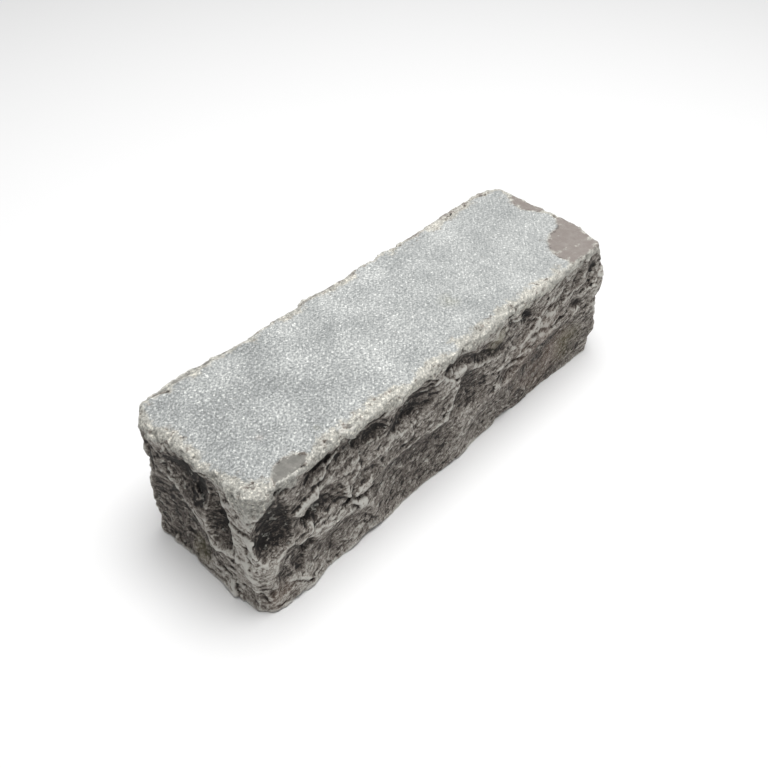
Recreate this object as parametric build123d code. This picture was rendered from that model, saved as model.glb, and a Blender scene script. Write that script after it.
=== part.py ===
from build123d import *

import math
import os

# Bench whetstone: one hewn block of natural stone with a dressed working face.
#
# Millimetres, +Z up, origin at the centre of the underside. +X runs along the block.
# The block is trimmed to a rough bar, its arrises are worn round, and flake scars are
# struck off its four hewn sides, as a mason's hammer and pitching tool leave them.
# The working face and the underside are flat.

# --- Driving dimensions -------------------------------------------------------------
LENGTH = 210.0  # along X, a full-size bench whetstone
WIDTH = 66.0  # along Y
HEIGHT = 63.0  # underside to working face

CORNER_RADII = {  # worn upright corners, seen from above
    ("left", "front"): 7.0,
    ("left", "back"): 7.0,
    ("right", "front"): 6.0,
    ("right", "back"): 9.0,
}
RIM_RADIUS = 2.6  # worn edge round the working face
FOOT_RADIUS = 2.0  # worn edge round the underside

# --- Flake scars on the hewn sides ---------------------------------------------------
# Each row: along the side, height, length, breadth, depth, turn of the long way.
# "Along" is X on the front and back and Y on the ends. A turn of 0 lies level and a
# turn of 90 stands upright, counted towards the top of the block. Broad scars take the
# whole side down, and the deeper ones were struck into them.
FRONT_BROAD = [
    (-20.0, 14.0, 66.0, 40.0, 1.5, -2.0),
    (62.0, 10.0, 84.0, 50.0, 1.5, 3.0),
    (99.0, 12.0, 42.0, 26.0, 1.2, 90.0),
    (-84.0, 46.0, 50.0, 38.0, 1.6, -10.0),
    (-50.5, 50.0, 56.0, 34.0, 1.7, 4.0),
    (-18.0, 46.0, 48.0, 38.0, 1.8, 0.0),
    (14.0, 37.0, 44.0, 36.0, 2.0, 62.0),
    (44.0, 46.0, 52.0, 36.0, 1.6, -12.0),
    (74.0, 46.0, 50.0, 38.0, 1.8, 8.0),
    (92.0, 44.0, 44.0, 28.0, 1.6, 72.0),
]
FRONT_SCARS = [
    (-97.0, 41.0, 32.0, 17.0, 6.0, 80.0),
    (-73.0, 37.0, 26.0, 14.0, 3.8, -9.0),
    (-60.0, 52.5, 48.0, 12.0, 3.4, 0.0),
    (-23.0, 48.5, 34.0, 20.0, 5.0, 0.0),
    (-47.0, 23.5, 20.0, 5.0, 2.2, -16.0),
    (4.0, 54.0, 24.0, 8.0, 3.0, -14.0),
    (24.0, 48.0, 28.0, 10.0, 3.2, -28.0),
    (38.0, 31.5, 20.0, 4.0, 2.0, -4.0),
    (46.5, 51.5, 11.0, 9.0, 3.0, -50.0),
    (94.0, 48.0, 20.0, 11.0, 2.8, 80.0),
    (-87.0, 18.0, 22.0, 10.0, 2.6, 98.0),
]
LEFT_BROAD = [
    (8.0, 46.0, 46.0, 38.0, 1.8, -10.0),
    (-20.0, 46.0, 40.0, 28.0, 1.4, 84.0),
    (14.0, 18.0, 44.0, 36.0, 2.4, 24.0),
    (-18.0, 10.0, 38.0, 32.0, 1.4, -24.0),
]
LEFT_SCARS = [
    (6.0, 46.5, 34.0, 20.0, 5.0, -12.0),
    (-11.5, 40.0, 40.0, 13.0, 6.2, 72.0),
    (-18.0, 20.5, 9.0, 6.0, 2.4, 0.0),
    (26.0, 53.0, 19.0, 9.0, 2.0, 62.0),
]
BACK_BROAD = [
    (-84.0, 44.0, 52.0, 36.0, 1.6, 64.0),
    (-64.5, 14.0, 60.0, 42.0, 1.7, -9.0),
    (-50.5, 50.0, 54.0, 34.0, 1.6, 5.0),
    (-12.0, 44.0, 52.0, 40.0, 1.7, 28.0),
    (-9.5, 9.0, 62.0, 42.0, 1.7, 3.0),
    (32.0, 26.0, 54.0, 44.0, 1.7, -20.0),
    (24.0, 52.0, 48.0, 30.0, 1.4, -6.0),
    (62.0, 48.0, 50.0, 38.0, 1.6, 9.0),
    (70.0, 12.0, 58.0, 42.0, 1.5, 6.0),
    (95.5, 36.0, 56.0, 34.0, 1.8, 82.0),
    (-104.0, 14.0, 44.0, 30.0, 1.6, 90.0),
]
BACK_SCARS = [
    (-80.0, 40.0, 32.0, 15.0, 4.2, 58.0),
    (-52.0, 54.0, 40.0, 12.0, 3.4, 3.0),
    (-58.0, 27.0, 34.0, 12.0, 3.8, -14.0),
    (-16.0, 40.0, 34.0, 20.0, 4.6, 34.0),
    (-4.0, 17.0, 26.0, 8.0, 3.0, 10.0),
    (20.0, 52.0, 30.0, 11.0, 3.2, -8.0),
    (36.0, 30.0, 32.0, 18.0, 4.4, -26.0),
    (62.0, 50.0, 34.0, 13.0, 4.0, 12.0),
    (76.0, 24.0, 30.0, 10.0, 3.2, -6.0),
    (90.0, 38.0, 26.0, 12.0, 4.2, 76.0),
]
RIGHT_BROAD = [
    (-12.0, 46.0, 46.0, 38.0, 1.8, 22.0),
    (18.0, 40.0, 52.0, 34.0, 1.6, 78.0),
    (-12.0, 12.0, 48.0, 42.0, 1.7, -12.0),
    (18.0, 9.0, 40.0, 34.0, 1.4, 6.0),
]
RIGHT_SCARS = [
    (-9.0, 47.0, 28.0, 15.0, 4.4, 28.0),
    (13.0, 34.0, 32.0, 12.0, 4.2, 66.0),
    (-14.0, 24.0, 20.0, 9.0, 3.8, -18.0),
]

# Scars struck off the upright corners. Each row: corner, height, length, breadth, depth.
CORNER_SCARS = [
    ("right", "front", 34.0, 22.0, 13.0, 3.6),
    ("right", "front", 3.0, 18.0, 12.0, 1.6),
    ("right", "back", 34.0, 50.0, 16.0, 1.8),
    ("right", "back", 8.0, 26.0, 16.0, 1.4),
    ("left", "back", 66.0, 28.0, 22.0, 3.0),
    ("left", "back", 42.0, 26.0, 10.0, 1.2),
    ("left", "front", 58.0, 26.0, 9.0, 1.2),
    ("left", "front", 8.0, 22.0, 10.0, 1.2),
]

# Hollows that the dressing tool left in the working face: X, Y, length, breadth, depth, turn.
FACE_HOLLOWS = [
    (91.0, -24.5, 31.0, 27.0, 0.9, 20.0),
    (101.0, -14.0, 17.0, 12.0, 0.7, 70.0),
    (103.5, 10.5, 18.0, 16.0, 0.9, 90.0),
    (94.0, 34.0, 18.0, 7.0, 0.9, -8.0),
    (45.5, 32.8, 14.0, 6.0, 0.8, -4.0),
    (8.0, 33.0, 9.0, 4.5, 0.8, 0.0),
    (-106.0, 9.0, 9.0, 8.0, 1.0, 90.0),
    (-84.5, -29.5, 16.0, 9.5, 0.8, 3.0),
    (-65.0, -31.5, 8.0, 5.0, 0.7, 0.0),
    (-55.0, -31.0, 9.0, 5.0, 0.7, 10.0),
]

# Chips along the foot of the block: side, along, length, breadth, depth.
FOOT_CHIPS = [
    ("front", -52.0, 26.0, 9.0, 1.2),
    ("front", 35.0, 24.0, 10.0, 1.8),
    ("front", 69.0, 20.0, 9.0, 1.6),
    ("left", 15.0, 18.0, 9.0, 1.4),
    ("left", -13.5, 14.0, 8.0, 1.3),
    ("back", -70.0, 34.0, 10.0, 1.6),
    ("back", 22.0, 30.0, 9.0, 1.4),
    ("back", 80.0, 20.0, 9.0, 1.3),
    ("right", 4.0, 24.0, 9.0, 1.4),
]

# --- The four sides: a point on each, the way it faces and its level direction ---------
SIDES = {
    "front": (Vector(0, -WIDTH / 2, 0), Vector(0, -1, 0), Vector(1, 0, 0)),
    "back": (Vector(0, WIDTH / 2, 0), Vector(0, 1, 0), Vector(1, 0, 0)),
    "left": (Vector(-LENGTH / 2, 0, 0), Vector(-1, 0, 0), Vector(0, 1, 0)),
    "right": (Vector(LENGTH / 2, 0, 0), Vector(1, 0, 0), Vector(0, 1, 0)),
}
UP = Vector(0, 0, 1)


def bowl_radius(across, depth):
    """Radius of the circle that leaves a bowl this wide and this deep in a flat face."""
    return (across**2 / 4 + depth**2) / (2 * depth)


def scar_tool(at, outward, long_way, length, breadth, depth):
    """The outer rim of a ring, which bites a boat-shaped bowl into the stone at a point."""
    ring = bowl_radius(length, depth)
    tube = bowl_radius(breadth, depth)
    centre = at + outward * (ring - depth)
    place = Plane(origin=centre, x_dir=long_way, z_dir=outward.cross(long_way))
    if ring - tube < 1.0:
        return Location(place) * Sphere(tube)
    return Location(place) * Torus(ring - tube, tube)


def side_tool(side, along, up, length, breadth, depth, turn):
    """A scar on one hewn side."""
    origin, outward, level = SIDES[side]
    angle = math.radians(turn)
    long_way = level * math.cos(angle) + UP * math.sin(angle)
    return scar_tool(origin + level * along + UP * up, outward, long_way, length, breadth, depth)


def corner_tool(end, side, up, length, breadth, depth):
    """An upright scar struck off a corner."""
    radius = CORNER_RADII[end, side]
    x_sign = -1 if end == "left" else 1
    y_sign = -1 if side == "front" else 1
    centre = Vector(x_sign * (LENGTH / 2 - radius), y_sign * (WIDTH / 2 - radius), up)
    outward = Vector(x_sign, y_sign, 0).normalized()
    return scar_tool(centre + outward * radius, outward, UP, length, breadth, depth)


def hollow_tool(x, y, length, breadth, depth, turn):
    """A shallow hollow in the working face."""
    angle = math.radians(turn)
    long_way = Vector(math.cos(angle), math.sin(angle), 0)
    return scar_tool(Vector(x, y, HEIGHT), UP, long_way, length, breadth, depth)


def chip_tool(side, along, length, breadth, depth):
    """A chip off the edge between a side and the underside."""
    origin, outward, level = SIDES[side]
    outward_down = (outward - UP).normalized()
    edge = origin + level * along - outward_down * FOOT_RADIUS * (math.sqrt(2) - 1)
    return scar_tool(edge, outward_down, level, length, breadth, depth)


def rough_bar():
    """The bar before any flake is struck: worn corners, a worn rim and a worn foot."""
    bar = Pos(0, 0, HEIGHT / 2) * Box(LENGTH, WIDTH, HEIGHT)
    for (end, side), radius in CORNER_RADII.items():
        x_sign = -1 if end == "left" else 1
        y_sign = -1 if side == "front" else 1
        corner = Vector(x_sign * LENGTH / 2, y_sign * WIDTH / 2, HEIGHT / 2)
        edge = min(bar.edges().filter_by(Axis.Z), key=lambda e: (e.center() - corner).length)
        bar = fillet(edge, radius)
    bar = fillet(bar.faces().sort_by(Axis.Z)[-1].edges(), RIM_RADIUS)
    return fillet(bar.faces().sort_by(Axis.Z)[0].edges(), FOOT_RADIUS)


def strike(stone, tool):
    """Takes one flake off and keeps the block."""
    return (stone - tool).solids().sort_by(SortBy.VOLUME)[-1]


def whetstone():
    """The finished block, centred on the origin."""
    tools = [side_tool("front", *row) for row in FRONT_BROAD + FRONT_SCARS]
    tools += [side_tool("left", *row) for row in LEFT_BROAD + LEFT_SCARS]
    tools += [side_tool("back", *row) for row in BACK_BROAD + BACK_SCARS]
    tools += [side_tool("right", *row) for row in RIGHT_BROAD + RIGHT_SCARS]
    tools += [corner_tool(*row) for row in CORNER_SCARS]
    tools += [hollow_tool(*row) for row in FACE_HOLLOWS]
    tools += [chip_tool(*row) for row in FOOT_CHIPS]
    stone = rough_bar()
    for tool in tools:
        stone = strike(stone, tool)
    middle = stone.bounding_box().center()
    return Pos(-middle.X, -middle.Y, 0) * stone


os.makedirs("parts", exist_ok=True)
export_step(whetstone(), "parts/stone_block.step")
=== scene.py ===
"""Looks of the bench whetstone: a hewn block of natural stone with a dressed working face.

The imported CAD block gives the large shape. Flake scars are struck off the sides of a dense
copy of it, small broken relief and a worn rim follow, and the working face is dressed flat
again. A procedural stone material reads what was done at each point. The stone is carved in
millimetres and shown in metres, in the CAD frame throughout.
"""

import math

import bpy
import numpy as np
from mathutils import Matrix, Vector


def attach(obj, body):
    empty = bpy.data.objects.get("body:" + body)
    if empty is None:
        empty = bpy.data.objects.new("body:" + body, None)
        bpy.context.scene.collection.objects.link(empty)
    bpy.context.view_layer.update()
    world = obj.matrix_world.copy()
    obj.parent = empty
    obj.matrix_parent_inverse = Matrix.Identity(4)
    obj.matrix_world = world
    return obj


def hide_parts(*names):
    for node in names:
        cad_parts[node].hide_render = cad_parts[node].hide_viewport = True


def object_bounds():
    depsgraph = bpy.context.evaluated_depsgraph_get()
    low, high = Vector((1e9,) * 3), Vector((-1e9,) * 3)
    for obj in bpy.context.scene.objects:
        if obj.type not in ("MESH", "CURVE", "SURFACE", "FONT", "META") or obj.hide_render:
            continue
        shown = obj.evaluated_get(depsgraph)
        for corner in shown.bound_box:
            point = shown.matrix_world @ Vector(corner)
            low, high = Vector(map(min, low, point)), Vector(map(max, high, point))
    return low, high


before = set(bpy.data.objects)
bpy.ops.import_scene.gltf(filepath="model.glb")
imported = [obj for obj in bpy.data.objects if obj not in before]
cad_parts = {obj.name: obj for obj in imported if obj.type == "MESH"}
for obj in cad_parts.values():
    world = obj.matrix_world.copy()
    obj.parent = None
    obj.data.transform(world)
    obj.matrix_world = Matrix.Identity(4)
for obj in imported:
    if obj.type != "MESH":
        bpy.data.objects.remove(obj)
cad_low, cad_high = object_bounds()

MM = 0.001  # lengths are written in millimetres, and the scene is in metres
LOW = np.array(cad_low) / MM
HIGH = np.array(cad_high) / MM
TOP = HIGH[2]  # height of the working face
MIDDLE = (cad_low + cad_high) / 2

ROUGH_SPACING = 0.7  # between points while the scars are struck
FINE_SPACING = 0.5  # between points of the finished mesh
FLOOR_SLACK = 0.8  # a point this close to a scar's floor lies on it
UNTOUCHED_TONE = 0.12  # stone that no scar took off has been rubbed pale
DRESSED_SKIM = 0.05  # stone this close to the working face's plane was dressed
SKIN_DROP = 1.3  # natural skin in the working face lies no lower than this below it
RIM_WEAR = 1.6  # how far the arris of the working face is worn back
BEDDING = (-0.2, -0.17, 1.0)  # square to the layers that the stone was laid down in
DEEPEST_INSET = 8.0  # farther in from the sides than this, the painted shade of the hollows grows no darker
SHEET_GAP = 3.0  # between the sides on the sheet that their colours are baked to

CAMERA_PITCH = 42.1  # degrees that the camera looks down
CAMERA_TURN = 47.36  # degrees that it looks to the right of the Y axis
CAMERA_DISTANCE = 418.809  # from the camera to its target, along its view
CAMERA_SHIFT = (4.443, 3.668)  # how far to the left and down from facing its target it stands
TARGET_SHIFT = 0.8  # its target lies this far in front of the block's middle
LENS = 47.3  # focal length
SENSOR = 36.0  # width of the sensor that the focal length is for

FLOOR_REACH = 4.0  # metres from the floor's middle to its edges
FLOOR_DROP = 0.02  # the floor lies this far under the block's underside

# --- Flake scars -----------------------------------------------------------------------
# Each row is one scar, as seen from outside the side it was struck off, in millimetres:
# how far to the right of the side's middle and how high its deepest point is; the turn of
# the scar in degrees; how far it runs to its left, right, upper and lower rim; its depth
# below the side; how rough its floor is; and its tone, from -1 for fresh and dark to 1
# for worn and pale. The darkest tones, in the deep scoops and the scars under the rim,
# are painted shade as well as fresh stone.
FRONT_SCARS = [
    # Deep scoop by the near corner, and the bruised stone above and below it.
    (-97.0, 35.0, -12, 7.0, 10.0, 22.0, 6.0, 6.8, 0.5, -0.9),
    (-93.5, 50.0, 20, 5.0, 6.0, 9.0, 9.0, 3.6, 0.5, -0.4),
    (-92.0, 58.0, -30, 4.0, 7.0, 3.0, 3.5, 3.2, 0.5, -0.5),
    (-82.5, 22.0, -20, 5.5, 7.0, 4.5, 4.5, 3.6, 0.6, -0.5),
    (-100.5, 10.0, 0, 4.0, 4.5, 4.5, 4.0, 1.8, 0.6, -0.4),
    (-91.0, 15.0, 80, 14.0, 15.0, 9.0, 9.0, 1.8, 0.9, -0.45),
    # Leaf-shaped scoop that points to the right.
    (-80.0, 35.5, -8, 4.5, 19.0, 4.5, 4.0, 4.8, 0.4, -1.0),
    # Band of scars under the rim, and the ledge that the largest of them ends on.
    (-72.0, 53.0, 3, 13.0, 15.0, 6.0, 5.5, 4.2, 0.8, -0.6),
    (-50.0, 52.0, -4, 14.0, 16.0, 7.0, 5.5, 4.6, 0.8, -0.5),
    (-23.0, 45.0, -2, 16.0, 15.0, 13.0, 4.5, 5.6, 0.6, -0.55),
    (-1.0, 54.5, -12, 8.0, 8.0, 4.5, 3.0, 3.2, 0.5, -0.5),
    (-34.0, 34.0, -3, 34.0, 26.0, 6.0, 7.0, 1.8, 1.0, -0.1),
    # Calm facets along the foot, each with a steep curved head.
    (-67.0, 11.0, -6, 22.0, 27.0, 11.0, 14.0, 2.4, 0.35, -0.1),
    (-19.0, 22.5, -3, 32.0, 27.0, 8.5, 30.0, 4.2, 0.3, -0.2),
    (24.0, 9.0, 5, 20.0, 20.0, 14.0, 20.0, 2.6, 0.4, 0.0),
    (68.0, 19.0, 2, 37.0, 36.0, 15.0, 50.0, 3.4, 0.35, -0.25),
    (-48.0, 23.5, -14, 9.0, 7.0, 1.6, 1.6, 3.2, 0.3, -0.7),
    (-57.0, 26.5, -8, 9.0, 9.0, 1.3, 1.3, 2.4, 0.3, -0.6),
    # Round facet at mid length, steep on its left.
    (3.5, 38.0, -25, 4.0, 26.0, 13.0, 15.0, 5.0, 0.4, -0.3),
    (20.0, 48.5, -22, 15.0, 15.0, 2.5, 6.0, 4.6, 0.5, -0.6),
    (38.0, 31.5, -5, 11.0, 10.0, 1.7, 1.2, 4.2, 0.3, -1.1),
    (39.0, 27.0, -14, 12.0, 9.0, 4.0, 6.0, 2.9, 0.5, -0.4),
    # Rough, bruised stone of the right half, with pockets.
    (46.5, 52.0, -45, 6.0, 5.0, 3.5, 3.0, 3.6, 0.5, -1.2),
    (62.0, 45.0, 24, 9.0, 11.0, 5.0, 4.5, 3.0, 1.0, 0.2),
    (75.0, 47.0, 68, 9.0, 9.0, 4.5, 4.0, 3.2, 1.0, 0.1),
    (56.0, 38.0, -10, 10.0, 9.0, 3.5, 3.0, 2.8, 1.0, 0.3),
    (84.0, 51.0, 62, 8.0, 8.0, 5.0, 5.0, 3.2, 0.9, -0.2),
    (70.0, 34.5, 5, 9.0, 9.0, 1.6, 1.4, 4.2, 0.3, -0.7),
    (86.0, 36.0, -30, 9.0, 8.0, 4.0, 3.0, 3.2, 0.6, -0.3),
    (93.0, 51.0, 20, 5.5, 5.0, 5.0, 4.0, 2.6, 0.4, -0.9),
]
LEFT_SCARS = [
    # Arched scoop under the rim, and the groove beside the near corner's spine.
    (-3.0, 50.0, 2, 17.0, 16.0, 7.0, 15.0, 5.0, 0.6, -1.2),
    (12.0, 36.0, 14, 8.0, 5.0, 17.0, 14.0, 6.0, 0.5, -0.7),
    # Facet that fills the lower far corner, below a slanting ridge.
    (-7.0, 28.0, -36, 20.0, 22.0, 6.5, 36.0, 5.2, 0.6, -0.4),
    (19.5, 20.5, 0, 3.0, 3.0, 2.5, 2.5, 3.4, 0.4, -0.7),
    (22.0, 9.0, 0, 11.0, 12.0, 8.0, 14.0, 2.0, 0.8, 0.1),
    # The pale spine itself.
    (24.5, 38.0, 0, 5.5, 6.0, 22.0, 24.0, 1.0, 1.0, 0.8),
    (-25.0, 46.0, 3, 1.8, 1.8, 13.0, 11.0, 2.2, 0.4, -0.6),
    (-21.0, 48.0, 8, 1.5, 1.5, 9.0, 9.0, 2.2, 0.4, -0.4),
]
RIGHT_SCARS = [
    # The front corner is worn round under the working face.
    (-36.0, 62.0, 0, 12.0, 22.0, 10.0, 13.0, 6.4, 0.5, -0.4),
]

# Where a corner or the foot stands out or falls back: the place, how far it reaches, and how
# far outwards the stone stands there.
BULGES = [
    (-105.0, 34.0, 8.0, 12.0, -1.6),
    (-105.0, 34.0, 37.0, 12.0, -3.4),
    (-105.0, 34.0, 49.0, 8.0, -3.6),
    (105.0, -34.0, 13.0, 9.0, 1.6),
    (99.0, -31.0, 40.0, 12.0, 3.4),
    (-86.0, -34.0, 0.0, 20.0, 2.8),
    (-108.0, -36.0, 0.0, 9.5, -3.0),
    (-56.0, -34.0, 0.0, 18.0, 2.0),
    (38.0, -34.0, 0.0, 13.0, -2.2),
    (97.0, -34.0, 0.0, 9.0, -1.8),
    (-106.0, -17.0, 0.0, 12.0, 2.2),
    (-78.0, 34.0, 63.0, 40.0, 2.0),
    (-10.0, 34.0, 63.0, 55.0, 1.4),
    (72.0, 34.0, 63.0, 45.0, 1.6),
]

# Stains in the stone, each as the place of its middle and how far it reaches.
OLIVE_STAINS = [
    (29.0, -33.0, 50.0, 8.0),
    (44.0, -33.0, 55.0, 5.0),
    (84.0, -33.0, 15.0, 12.0),
    (-105.0, 4.0, 9.0, 8.0),
    (-65.0, -23.0, 62.0, 2.2),
    (22.0, -10.0, 62.0, 6.0),
]
RUST_STAINS = [
    (-82.0, -12.0, 62.0, 2.2),
    (-96.0, -33.0, 5.0, 9.0),
    (60.0, -33.0, 22.0, 30.0),
]

# --- Noise ---------------------------------------------------------------------------
def scrambled(cells, seed):
    """A fixed 32-bit number for each row of whole-numbered cells."""
    mask = np.uint64(0xFFFFFFFF)
    c = cells.astype(np.int64).astype(np.uint64)
    h = c[:, 0] * np.uint64(0x9E3779B1) + c[:, 1] * np.uint64(0x85EBCA77)
    h = h + c[:, 2] * np.uint64(0xC2B2AE3D) + np.uint64(seed * 0x27D4EB2F)
    h &= mask
    for shift, factor in ((15, 0x2C1B3C6D), (12, 0x297A2D39), (15, 0x1B873593)):
        h = ((h ^ (h >> np.uint64(shift))) * np.uint64(factor)) & mask
    return h ^ (h >> np.uint64(16))


def three_parts(h):
    """Three numbers from 0 to 1 out of each 32-bit number."""
    ten_bits = 1023
    return np.stack([(h >> np.uint64(s)) & np.uint64(ten_bits) for s in (0, 10, 20)], 1) / ten_bits


def smooth_noise(points, seed):
    """Gradient noise with one feature to each unit, from about -1 to 1."""
    base = np.floor(points)
    inside = points - base
    fade = inside**3 * (inside * (inside * 6 - 15) + 10)
    total = np.zeros(len(points))
    for corner in np.ndindex(2, 2, 2):
        corner = np.array(corner)
        slope = three_parts(scrambled(base + corner, seed)) * 2 - 1
        weight = np.prod(np.where(corner, fade, 1 - fade), axis=1)
        total += weight * np.einsum("ij,ij->i", slope, inside - corner)
    return total * 1.6


def fractal_noise(points, size, octaves, seed, gain=0.5):
    """Smooth noise summed over octaves, the largest with features of `size`."""
    total, reach = np.zeros(len(points)), 0.0
    for octave in range(octaves):
        total += gain**octave * smooth_noise(points * (2**octave / size), seed + octave)
        reach += gain**octave
    return total / reach


def facets(points, size, slope, seed):
    """Flat broken facets about this wide, each tilted its own way, which meet in sharp steps."""
    scaled = points / size
    base = np.floor(scaled)
    nearest = np.full(len(points), 9.0)
    height = np.zeros(len(points))
    for step in np.ndindex(3, 3, 3):
        cell = base + np.array(step) - 1
        h = scrambled(cell, seed)
        away = scaled - cell - three_parts(h)
        distance = np.einsum("ij,ij->i", away, away)
        here = distance < nearest
        nearest = np.where(here, distance, nearest)
        lean = three_parts(scrambled(cell, seed + 77)) * 2 - 1
        level = ((h >> np.uint64(5)) & np.uint64(255)) / 255.0 - 0.5
        height = np.where(here, 2 * np.einsum("ij,ij->i", away, lean) + 0.5 * level, height)
    return slope * size * height


def along_bedding(points, stretch):
    """Points squeezed within the stone's layers, so that noise read there is stretched by as much."""
    across = np.array(BEDDING) / np.linalg.norm(BEDDING)
    return points / stretch + np.outer(points @ across, across) * (1 - 1 / stretch)


def smoothstep(low, high, value):
    t = np.clip((value - low) / (high - low), 0, 1)
    return t * t * (3 - 2 * t)


# --- The dense mesh ------------------------------------------------------------------
class Surface:
    """Points and edges of a mesh as arrays in millimetres, with what carving needs."""

    def __init__(self, mesh):
        self.mesh = mesh
        self.points = np.empty(len(mesh.vertices) * 3)
        mesh.vertices.foreach_get("co", self.points)
        self.points = self.points.reshape(-1, 3) / MM
        self.edges = np.empty(len(mesh.edges) * 2, np.int64)
        mesh.edges.foreach_get("vertices", self.edges)
        self.degree = np.bincount(self.edges, minlength=len(self.points)).astype(float)
        self.edges = self.edges.reshape(-1, 2)

    def write(self):
        self.mesh.vertices.foreach_set("co", (self.points * MM).ravel())
        self.mesh.update()

    def averaged(self, values):
        """Each point's mean over its neighbours, for one value or several at each point."""
        columns = values.reshape(len(values), -1)
        a, b = self.edges.T
        out = np.empty_like(columns)
        for i in range(columns.shape[1]):
            column = columns[:, i]
            out[:, i] = np.bincount(a, column[b], len(column)) + np.bincount(b, column[a], len(column))
        return (out / self.degree[:, None]).reshape(values.shape)

    def relaxed(self, values, rounds, share=0.5):
        for _ in range(rounds):
            values = values + share * (self.averaged(values) - values)
        return values

    def relaxed_over(self, values, reach):
        """Values smoothed as by a bell curve of this many millimetres."""
        ends = self.points[self.edges[::50]]
        step = np.linalg.norm(ends[:, 0] - ends[:, 1], axis=1).mean()
        return self.relaxed(values, max(1, round(2.5 * (reach / step) ** 2)), 0.8)

    def normals(self):
        """Unit normals of the points as they stand now."""
        self.write()
        normals = np.empty(len(self.points) * 3, np.float32)
        self.mesh.vertex_normals.foreach_get("vector", normals)
        return normals.reshape(-1, 3).astype(float)

    def store(self, name, values):
        attribute = self.mesh.attributes.new(name, "FLOAT", "POINT")
        attribute.data.foreach_set("value", values.astype(np.float32))


def remeshed(mesh, name, spacing):
    """A new even mesh of quads over the same shape."""
    holder = bpy.data.objects.new(name + "_raw", mesh)
    bpy.context.scene.collection.objects.link(holder)
    modifier = holder.modifiers.new("even", "REMESH")
    modifier.mode = "VOXEL"
    modifier.voxel_size = spacing * MM
    modifier.adaptivity = 0.0
    graph = bpy.context.evaluated_depsgraph_get()
    made = bpy.data.meshes.new_from_object(holder.evaluated_get(graph), depsgraph=graph)
    bpy.data.objects.remove(holder)
    made.name = name
    return made


# --- Striking the scars ----------------------------------------------------------------
class Side:
    """One hewn side: which way it faces and the scars that were struck off it."""

    def __init__(self, axis, outward, scars):
        self.axis = axis  # 0 where the side faces along X, 1 where it faces along Y
        self.outward = outward  # 1 or -1
        self.scars = scars
        self.seed = 500 + 10 * axis + outward

    def inset(self, points):
        """How far each point lies behind the side's plane."""
        plane = HIGH[self.axis] if self.outward > 0 else LOW[self.axis]
        return (plane - points[:, self.axis]) * self.outward

    def seen_from_outside(self, points):
        """Each point's place to the right of the side's middle, and its height."""
        level = 1 - self.axis
        right = self.outward if self.axis == 0 else -self.outward
        middle = (LOW[level] + HIGH[level]) / 2
        return (points[:, level] - middle) * right, points[:, 2]

    def struck(self, points):
        """The scars' depth, roughness and tone at each point; the deepest scar counts."""
        right, up = self.seen_from_outside(points)
        flat = np.stack([right, up, np.full(len(right), 7.3 * self.seed)], 1)
        right = right + 2.4 * fractal_noise(flat, 11, 5, self.seed, 0.65)
        up = up + 2.2 * fractal_noise(flat, 9, 5, self.seed + 50, 0.65)
        depth = np.full(len(right), -9.0)
        rough, tone = np.ones(len(right)), np.full(len(right), UNTOUCHED_TONE)
        for x, z, turn, to_left, to_right, to_top, to_foot, deep, roughness, shade in self.scars:
            angle = math.radians(turn)
            a = (right - x) * math.cos(angle) + (up - z) * math.sin(angle)
            b = (up - z) * math.cos(angle) - (right - x) * math.sin(angle)
            a = a / np.where(a > 0, to_right, to_left)
            b = b / np.where(b > 0, to_top, to_foot)
            bowl = deep * (1 - a * a - b * b)
            here = bowl > depth
            depth = np.where(here, bowl, depth)
            rough = np.where(here & (bowl > 0), roughness, rough)
            tone = np.where(here & (bowl > 0), shade, tone)
        return depth, rough, tone


def scattered_scars(length, seed):
    """Scars for a side that nothing special is known of, written like the rows above.

    Along it, calm facets lie at the foot, scoops under the rim and two smaller scars between.
    """
    draw = np.random.default_rng(seed).uniform
    clear_of_corner = 8.0
    reach = length / 2 - clear_of_corner
    steps = max(2, round(length / 27))
    rows = []
    for i in range(steps):
        x = (i + 0.5 - steps / 2) * (length - 34) / steps
        shift, turn, first, second = draw(-5, 5, 4)
        facet = (x + shift, draw(5, 16), turn, *draw(16, 26, 2), draw(9, 18), 40.0)
        rows.append((*facet, draw(2.0, 4.0), 0.3, -0.2))
        scoop = (x - shift, draw(42, 50), 5 * turn, *draw(13, 20, 2), draw(7, 11), draw(5, 10))
        rows.append((*scoop, draw(3.0, 5.5), 0.6, -0.45))
        flake = (x + 2.4 * first, draw(24, 36), draw(-40, 40), *draw(11, 18, 2), *draw(4, 7, 2))
        rows.append((*flake, draw(2.2, 3.6), 0.7, -0.2))
        chip = (x + 2.4 * second, draw(50, 57), draw(-30, 30), *draw(8, 14, 2), *draw(3, 5, 2))
        rows.append((*chip, draw(2.2, 3.6), 0.7, -0.35))
    # A scar that would run on past a corner is cut short.
    return [(x, z, turn, min(to_left, reach + x), min(to_right, reach - x), *rest)
            for x, z, turn, to_left, to_right, *rest in rows if abs(x) < reach - 3]


SIDES = [
    Side(1, -1, FRONT_SCARS),
    Side(0, -1, LEFT_SCARS),
    Side(1, 1, scattered_scars(HIGH[0] - LOW[0], 21)),
    Side(0, 1, RIGHT_SCARS + scattered_scars(HIGH[1] - LOW[1], 33)),
]


def strike_scars(surface):
    """Takes every side back to the floor of its scars."""
    for side in SIDES:
        depth, _, _ = side.struck(surface.points)
        bite = np.clip(depth - side.inset(surface.points), 0, None)
        surface.points[:, side.axis] -= bite * side.outward


def bulge(surface):
    """Moves corners and foot out or in along the level part of their normals."""
    normals = surface.normals()
    normals[:, 2] = 0
    for x, y, z, reach, amount in BULGES:
        away = np.linalg.norm(surface.points - (x, y, z), axis=1)
        surface.points += normals * (amount * smoothstep(reach, 0.0, away))[:, None]


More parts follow.
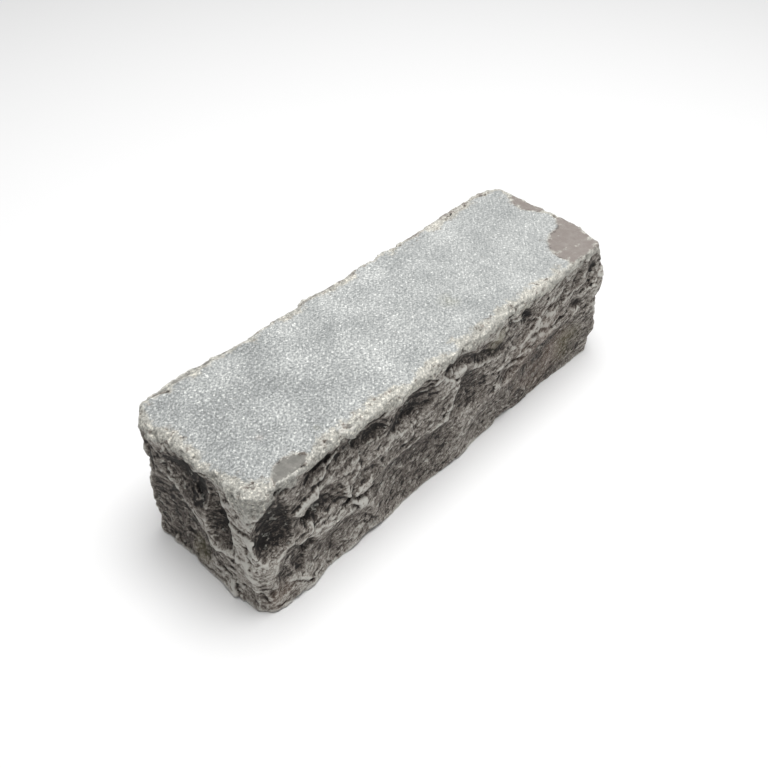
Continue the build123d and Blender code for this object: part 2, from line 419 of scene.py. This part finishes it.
def floor_of_scars(surface):
    """How far each point lies in from the nearest side, and its scar's roughness and tone."""
    inset = np.full(len(surface.points), 99.0)
    rough, tone = np.ones(len(inset)), np.full(len(inset), UNTOUCHED_TONE)
    for side in SIDES:
        depth, side_rough, side_tone = side.struck(surface.points)
        behind = side.inset(surface.points)
        on_floor = np.abs(depth - behind) < FLOOR_SLACK
        rough = np.where(on_floor, side_rough, rough)
        tone = np.where(on_floor, side_tone, tone)
        inset = np.minimum(inset, behind)
    return inset, surface.relaxed(rough, 6), surface.relaxed_over(tone, 2.0)


def stained(points, stains):
    """How strongly each point is stained: 1 in the middle of a stain and 0 outside all of them."""
    share = np.zeros(len(points))
    for x, y, z, reach in stains:
        away = np.linalg.norm(points - (x, y, z), axis=1) / reach
        share = np.maximum(share, 1 - away)
    return np.clip(share, 0, 1)


def wear_rim(surface, inset):
    """Wears round the arris of the working face, more in some places than in others."""
    rest = surface.points
    near_rim = smoothstep(11.0, 4.0, TOP - rest[:, 2]) * smoothstep(8.0, 4.0, inset)
    amount = 0.75 + 0.5 * fractal_noise(rest, 16, 3, 951)
    worn = surface.relaxed_over(rest, RIM_WEAR)
    surface.points = rest + (worn - rest) * (np.clip(amount, 0.2, 1) * near_rim)[:, None]


def natural_skin(surface, up):
    """How far each point belongs to the natural skin that lies a little below the working face."""
    below = TOP - surface.points[:, 2]
    skin = ((below > DRESSED_SKIM) & (below < SKIN_DROP) & (up > 0.93)).astype(float)
    return smoothstep(0.45, 0.7, surface.relaxed_over(skin, 0.7))


def hewn_share(surface, up, inset):
    """1 on the hewn sides and the rim, and 0 on the flat stone farther in."""
    flat = surface.relaxed_over((np.abs(up) > 0.9).astype(float), 1.0)
    return 1 - smoothstep(2.0, 5.5, inset) * flat


def broken_relief(rest, rough, skin):
    """How far the small relief of broken stone stands out at each point."""
    bent = rest + 2.2 * np.stack([fractal_noise(rest, 7, 3, 131 * (i + 1)) for i in range(3)], 1)
    layered = along_bedding(bent, 1.5)
    relief = facets(layered, 14, 0.045, 811)
    relief += facets(layered, 7, 0.045, 812)
    relief += facets(layered, 3.6, 0.055, 813)
    relief += 0.7 * fractal_noise(along_bedding(bent, 2.0), 4.0, 4, 301, 0.65)
    bruised = smoothstep(9.0, 2.0, TOP - rest[:, 2])
    relief -= 1.2 * bruised * smoothstep(0.0, 0.5, fractal_noise(bent, 6.0, 4, 555, 0.65))
    relief = np.clip(relief, -2.2, 1.6) * (0.15 + 0.85 * np.maximum(rough, 0.8 * bruised)) * (1 - skin)
    return relief + 0.25 * fractal_noise(along_bedding(rest, 1.5), 1.6, 2, 401) * (1 - 0.7 * skin)


def dress(surface):
    """Takes everything above the working face's plane off again, and below the underside's."""
    surface.points[:, 2] = np.clip(surface.points[:, 2], 0.0, TOP)


def store_looks(surface, rest, inset, tone, skin):
    """Stores what the material reads at each point."""
    normals = surface.normals()
    near = surface.relaxed_over(surface.points, 0.8)
    wide = surface.relaxed_over(near, 2.2)
    depth = TOP - surface.points[:, 2]
    dressed = surface.relaxed_over((depth < DRESSED_SKIM).astype(float), 1.6)
    ragged = 2.0 * fractal_noise(rest, 7, 4, 611)
    # The rim's wear reaches farther down the corner that is nearest the camera.
    near_corner = smoothstep(24.0, 6.0, np.linalg.norm(rest[:, :2] - LOW[:2], axis=1))
    rim = smoothstep(8.0, 2.5, depth * (1 - 0.55 * near_corner) + ragged)
    surface.store("dressed", dressed)
    # Crest and swell: pale worn ridges and swellings, and painted shade in the creases and hollows.
    surface.store("crest", np.einsum("ij,ij->i", surface.points - near, normals))
    surface.store("swell", np.einsum("ij,ij->i", surface.points - wide, normals))
    # Painted light: the sides are coloured paler where they face up and darker where they face down.
    surface.store("facing", surface.relaxed(normals[:, 2], 2))
    # Painted shade: the farther in from the sides, the darker the stone is coloured.
    surface.store("inset", np.minimum(inset, DEEPEST_INSET))
    # Scar tone: fresh and worn stone, and painted shade in the deep scoops and under the rim.
    surface.store("tone", tone)
    surface.store("skin", skin * (1 - dressed))
    surface.store("rim", rim * (1 - surface.relaxed_over(skin, 1.5)))
    surface.store("foot", smoothstep(7.0, 0.0, surface.points[:, 2] + ragged))
    surface.store("olive", stained(rest, OLIVE_STAINS))
    surface.store("rust", stained(rest, RUST_STAINS))


def roughen(surface):
    """Gives the struck block its worn rim and small relief, and dresses the working face."""
    up = surface.normals()[:, 2]
    inset, rough, tone = floor_of_scars(surface)
    skin = natural_skin(surface, up)
    side = hewn_share(surface, up, inset)
    wear_rim(surface, inset)

    rest = surface.points.copy()
    surface.points += surface.normals() * (broken_relief(rest, rough, skin) * side)[:, None]
    surface.points[:, 2] += 0.22 * fractal_noise(rest, 7, 3, 901) * skin * (1 - side)
    fringe = smoothstep(9.0, 4.0, inset) * smoothstep(2.5, 1.0, TOP - rest[:, 2]) * (1 - skin)
    surface.points[:, 2] += 0.5 * fractal_noise(rest, 6, 5, 941, 0.7) * fringe
    surface.points = surface.relaxed(surface.points, 1, 0.4)

    dress(surface)
    store_looks(surface, rest, inset, tone, skin)
    surface.write()


def lay_flat(surface):
    """Lays the faces out on one flat sheet, each with the side of the block that it faces."""
    mesh, points = surface.mesh, surface.points
    corners = np.empty(len(mesh.loops), np.int32)
    starts = np.empty(len(mesh.polygons), np.int32)
    sizes = np.empty(len(mesh.polygons), np.int32)
    mesh.loops.foreach_get("vertex_index", corners)
    mesh.polygons.foreach_get("loop_start", starts)
    mesh.polygons.foreach_get("loop_total", sizes)

    facing = np.add.reduceat(surface.relaxed(surface.normals(), 12)[corners], starts)
    axis = np.abs(facing).argmax(axis=1)
    outward = np.sign(facing[np.arange(len(axis)), axis])
    axis, outward = np.repeat(axis, sizes), np.repeat(outward, sizes)
    length, width, height = np.ptp(points, axis=0) + SHEET_GAP
    shelves = {
        (1, -1): (0, 0),
        (1, 1): (0, height),
        (2, 1): (0, 2 * height),
        (2, -1): (0, 2 * height + width),
        (0, -1): (length, 0),
        (0, 1): (length, height),
    }
    place = points[corners] - points.min(axis=0)
    laid = np.zeros((len(corners), 2))
    for (along, sign), shelf in shelves.items():
        here = (axis == along) & (outward == sign)
        laid[here] = np.delete(place[here], along, axis=1) + shelf
    laid /= max(length + width, 2 * (height + width))
    mesh.uv_layers.new(name="OFBake").data.foreach_set("uv", laid.ravel())


def stone_block():
    """The block that is shown, which stands for the CAD node."""
    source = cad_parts["stone_block"].data.copy()
    struck = Surface(remeshed(source, "struck_block", ROUGH_SPACING))
    strike_scars(struck)
    bulge(struck)
    struck.write()
    finished = Surface(remeshed(struck.mesh, "whetstone_block", FINE_SPACING))
    roughen(finished)
    lay_flat(finished)
    mesh = finished.mesh
    mesh.polygons.foreach_set("use_smooth", np.ones(len(mesh.polygons), bool))
    block = bpy.data.objects.new("whetstone_block", mesh)
    bpy.context.scene.collection.objects.link(block)
    return block


# --- Materials -----------------------------------------------------------------------
class Nodes:
    """A short way to write a material's node tree."""

    def __init__(self, name):
        self.material = bpy.data.materials.new(name)
        self.material.use_nodes = True
        self.tree = self.material.node_tree
        self.shader = self.tree.nodes["Principled BSDF"]
        place = self.tree.nodes.new("ShaderNodeTexCoord")
        self.place = place.outputs["Object"]

    def put(self, kind, inputs=(), **settings):
        node = self.tree.nodes.new(kind)
        for key, value in settings.items():
            setattr(node, key, value)
        for key, value in dict(inputs).items():
            self.feed(node.inputs[key], value)
        return node

    def feed(self, socket, value):
        if isinstance(value, bpy.types.NodeSocket):
            self.tree.links.new(value, socket)
        else:
            socket.default_value = value

    def attribute(self, name):
        return self.put("ShaderNodeAttribute", attribute_name=name).outputs["Fac"]

    def noise(self, size, detail=2.0, roughness=0.5, stretch=(1, 1, 1), turn=(0, 0, 0)):
        """Noise from 0 to 1 with features of `size` metres, stretched along axes turned this way."""
        mapped = self.put(
            "ShaderNodeMapping",
            {"Vector": self.place, "Scale": [size * s for s in stretch], "Rotation": turn},
            vector_type="TEXTURE",
        )
        node = self.put(
            "ShaderNodeTexNoise",
            {"Vector": mapped.outputs[0], "Scale": 1.0, "Detail": detail, "Roughness": roughness},
        )
        return node.outputs["Fac"]

    def ramp(self, value, low, high, to_low=0.0, to_high=1.0):
        """Value from low..high to to_low..to_high, clamped and eased."""
        node = self.put(
            "ShaderNodeMapRange",
            {"Value": value, "From Min": low, "From Max": high, "To Min": to_low, "To Max": to_high},
            interpolation_type="SMOOTHSTEP",
        )
        return node.outputs["Result"]

    def maths(self, operation, *values):
        return self.put("ShaderNodeMath", dict(enumerate(values)), operation=operation).outputs[0]

    def scale_of_colours(self, value, *stops):
        """A colour read off a scale with these stops."""
        node = self.put("ShaderNodeValToRGB", {"Fac": value})
        elements = node.color_ramp.elements
        while len(elements) < len(stops):
            elements.new(0.5)
        for element, (place, colour) in zip(elements, stops):
            element.position = place
            element.color = colour
        return node.outputs[0]

    def mix(self, share, a, b, blend="MIX"):
        node = self.put("ShaderNodeMix", {0: share, 6: a, 7: b}, data_type="RGBA", blend_type=blend)
        return node.outputs[2]


def srgb(red, green, blue):
    """A colour given as 0 to 255 sRGB values, as the linear one that shaders want."""

    def linear(value):
        value /= 255
        return value / 12.92 if value <= 0.04045 else ((value + 0.055) / 1.055) ** 2.4

    return (linear(red), linear(green), linear(blue), 1.0)


def hewn_colour(n, blotch, streak):
    """The hewn sides: one scale from fresh dark scars to worn pale ridges, read with noise, with painted
    light and shade added: paler facing up, darker facing down, in creases and deep in the hollows.
    """
    thread = n.ramp(n.maths("ABSOLUTE", n.maths("SUBTRACT", streak, 0.5)), 0.0, 0.045, 1.0, 0.0)
    shares = (
        # Scar tone: fresh and worn stone, and painted shade in the deep scoops and under the rim.
        (n.attribute("tone"), 0.78),
        # Swell and crest: pale worn ridges, and painted shade in the hollows and creases.
        (n.attribute("swell"), 0.2),
        (n.attribute("crest"), 3.2),
        # Painted light from overhead: paler facing up, darker facing down.
        (n.attribute("facing"), 0.3),
        (n.attribute("foot"), -0.1),
        # Inset: painted shade, darker the farther the stone lies in from the sides.
        (n.maths("SUBTRACT", n.attribute("inset"), 3.0), -0.06),
        (n.maths("SUBTRACT", blotch, 0.5), 1.2),
        (n.maths("SUBTRACT", n.noise(5 * MM, 3.0, 0.6), 0.5), 0.9),
        (n.maths("SUBTRACT", streak, 0.5), 2.4),
        (n.maths("SUBTRACT", thread, 0.25), 0.7),
        (n.maths("SUBTRACT", n.noise(0.8 * MM, 3.0, 0.65), 0.5), 2.0),
    )
    scale = 0.0
    for value, share in shares:
        scale = n.maths("MULTIPLY_ADD", value, share, scale)
    return n.scale_of_colours(
        n.maths("MULTIPLY_ADD", scale, 0.53, 0.45),
        (0.0, srgb(26, 23, 21)),
        (0.25, srgb(76, 69, 63)),
        (0.5, srgb(116, 109, 102)),
        (0.75, srgb(160, 154, 146)),
        (1.0, srgb(196, 194, 187)),
    )


def dressed_colour(n, across, crystal):
    """The dressed face: cool grey with pale crystals and fine scratches, sharper to the left, where painted
    shade also darkens it a little.
    """
    cloud = n.noise(16 * MM, 4.0, 0.6)
    glint = n.ramp(n.noise(1.4 * MM, 3.0, 0.7), 0.56, 0.7)
    scratch = n.noise(0.6 * MM, 3.0, 0.7, stretch=(8, 1, 1), turn=(0, 0, 0.75))
    sharp = n.ramp(across, -90 * MM, 90 * MM, 1.3, 0.8)
    shares = (
        (n.maths("SUBTRACT", crystal, 0.5), sharp),
        (n.maths("SUBTRACT", cloud, 0.5), 0.34),
        (n.maths("SUBTRACT", scratch, 0.5), 0.4),
        (glint, n.maths("MULTIPLY", sharp, 0.24)),
        # Painted shade: the face darkens a little towards its left end.
        (n.ramp(across, -90 * MM, 0.0, -0.05, 0.01), 1.0),
    )
    scale = 0.5
    for value, share in shares:
        scale = n.maths("MULTIPLY_ADD", value, share, scale)
    return n.scale_of_colours(
        scale,
        (0.25, srgb(104, 106, 106)),
        (0.42, srgb(138, 141, 140)),
        (0.5, srgb(155, 157, 156)),
        (0.6, srgb(180, 182, 180)),
        (0.75, srgb(226, 227, 223)),
    )


def skin_colour(n, across, streak):
    """The natural skin: dull grey to the left and brownish to the right, faintly streaked."""
    ground = n.mix(n.ramp(across, -70 * MM, 70 * MM), srgb(112, 111, 106), srgb(132, 124, 119))
    return n.mix(n.ramp(streak, 0.35, 0.65, 0.0, 0.3), ground, srgb(158, 154, 148))


def stone_material():
    n = Nodes("hewn_stone")
    dressed, rim = n.attribute("dressed"), n.attribute("rim")
    across = n.put("ShaderNodeSeparateXYZ", {0: n.place}).outputs["X"]
    blotch = n.noise(12 * MM, 4.0)
    streak = n.noise(1.5 * MM, 5.0, 0.65, stretch=(2.6, 2.0, 1), turn=(0.17, -0.3, 0.0))
    crystal = n.noise(1.0 * MM, 4.0, 0.75)
    nibble = n.maths("SUBTRACT", n.noise(3.5 * MM, 5.0, 0.7), 0.5)

    colour = hewn_colour(n, blotch, streak)
    edge = n.maths("MULTIPLY_ADD", n.maths("SUBTRACT", streak, 0.5), 1.6, n.attribute("skin"))
    colour = n.mix(n.ramp(edge, 0.35, 0.65), colour, skin_colour(n, across, streak))

    # Along the rim the stone is worn as pale as the dressed face, and warmer.
    face = dressed_colour(n, across, crystal)
    worn = n.mix(1.0, face, (1.28, 1.22, 1.12, 1.0), blend="MULTIPLY")
    edge = n.maths("MULTIPLY_ADD", nibble, 3.8, rim)
    edge = n.maths("MULTIPLY_ADD", n.maths("SUBTRACT", streak, 0.5), 2.4, edge)
    colour = n.mix(n.ramp(edge, 0.35, 0.85, 0.0, 0.85), colour, worn)

    # The dressing stops raggedly along the rim, but in a clean line around the natural skin.
    ragged = n.ramp(rim, 0.5, 0.9, 0.25, 2.2)
    edge = n.maths("MULTIPLY_ADD", nibble, ragged, dressed)
    colour = n.mix(n.ramp(edge, 0.3, 0.75), colour, face)

    for name, stain in (("olive", srgb(120, 116, 76)), ("rust", srgb(132, 108, 92))):
        patchy = n.maths("MULTIPLY", n.attribute(name), n.ramp(blotch, 0.35, 0.6))
        colour = n.mix(n.maths("MULTIPLY", patchy, 0.4), colour, stain)

    height = n.maths("ADD", n.noise(0.9 * MM, 4.0, 0.65), n.maths("MULTIPLY", streak, 0.8))
    depth = n.ramp(dressed, 0.2, 0.8, 0.5, 0.1)
    bump = n.put("ShaderNodeBump", {"Height": height, "Strength": depth, "Distance": 0.9 * MM})
    n.feed(n.shader.inputs["Base Color"], colour)
    n.feed(n.shader.inputs["Roughness"], n.ramp(crystal, 0.2, 0.8, 0.72, 0.95))
    n.feed(n.shader.inputs["Normal"], bump.outputs[0])
    return n.material


def plain_material(name, colour):
    n = Nodes(name)
    n.feed(n.shader.inputs["Base Color"], colour)
    n.feed(n.shader.inputs["Roughness"], 0.9)
    return n.material


# --- Camera, light and floor -----------------------------------------------------------
def make_camera():
    """A camera that looks down on the block's near corner."""
    pitch, turn = math.radians(CAMERA_PITCH), math.radians(CAMERA_TURN)
    forward = Vector((math.sin(turn) * math.cos(pitch), math.cos(turn) * math.cos(pitch), -math.sin(pitch)))
    right = Vector((math.cos(turn), -math.sin(turn), 0))
    up = right.cross(forward)
    left_by, down_by = CAMERA_SHIFT
    back = CAMERA_DISTANCE * forward + left_by * right + down_by * up
    camera = bpy.data.objects.new("camera", bpy.data.cameras.new("camera"))
    camera.data.lens = LENS
    camera.data.sensor_width = SENSOR
    camera.data.clip_start = 0.01
    camera.location = MIDDLE - Vector((0, TARGET_SHIFT, 0)) * MM - back * MM
    camera.rotation_mode = "QUATERNION"
    camera.rotation_quaternion = forward.to_track_quat("-Z", "Y")
    bpy.context.scene.collection.objects.link(camera)
    bpy.context.scene.camera = camera


def area_light(name, at, size, power):
    lamp = bpy.data.lights.new(name, "AREA")
    lamp.shape = "DISK"
    lamp.size = size
    lamp.energy = power
    holder = bpy.data.objects.new(name, lamp)
    holder.location = at
    holder.rotation_mode = "QUATERNION"
    holder.rotation_quaternion = (MIDDLE - Vector(at)).to_track_quat("-Z", "Y")
    bpy.context.scene.collection.objects.link(holder)


def make_studio():
    """Even white surroundings, one large soft lamp overhead and a pale floor."""
    world = bpy.data.worlds.new("studio")
    world.use_nodes = True
    background = world.node_tree.nodes["Background"]
    background.inputs["Color"].default_value = (1, 1, 1, 1)
    background.inputs["Strength"].default_value = 0.32
    bpy.context.scene.world = world
    area_light("key", at=(0.06, -0.05, 0.95), size=0.75, power=11.0)
    bpy.context.scene.view_settings.view_transform = "Standard"

    mesh = bpy.data.meshes.new("floor")
    signs = ((-1, -1), (1, -1), (1, 1), (-1, 1))
    corners = [(x * FLOOR_REACH, y * FLOOR_REACH, -FLOOR_DROP * MM) for x, y in signs]
    mesh.from_pydata(corners, [], [(0, 1, 2, 3)])
    floor = bpy.data.objects.new("floor", mesh)
    floor.data.materials.append(plain_material("pale_floor", (0.82, 0.82, 0.82, 1)))
    bpy.context.scene.collection.objects.link(floor)


make_camera()
make_studio()
block = stone_block()
block.data.materials.clear()
block.data.materials.append(stone_material())
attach(block, "root")
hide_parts("stone_block")
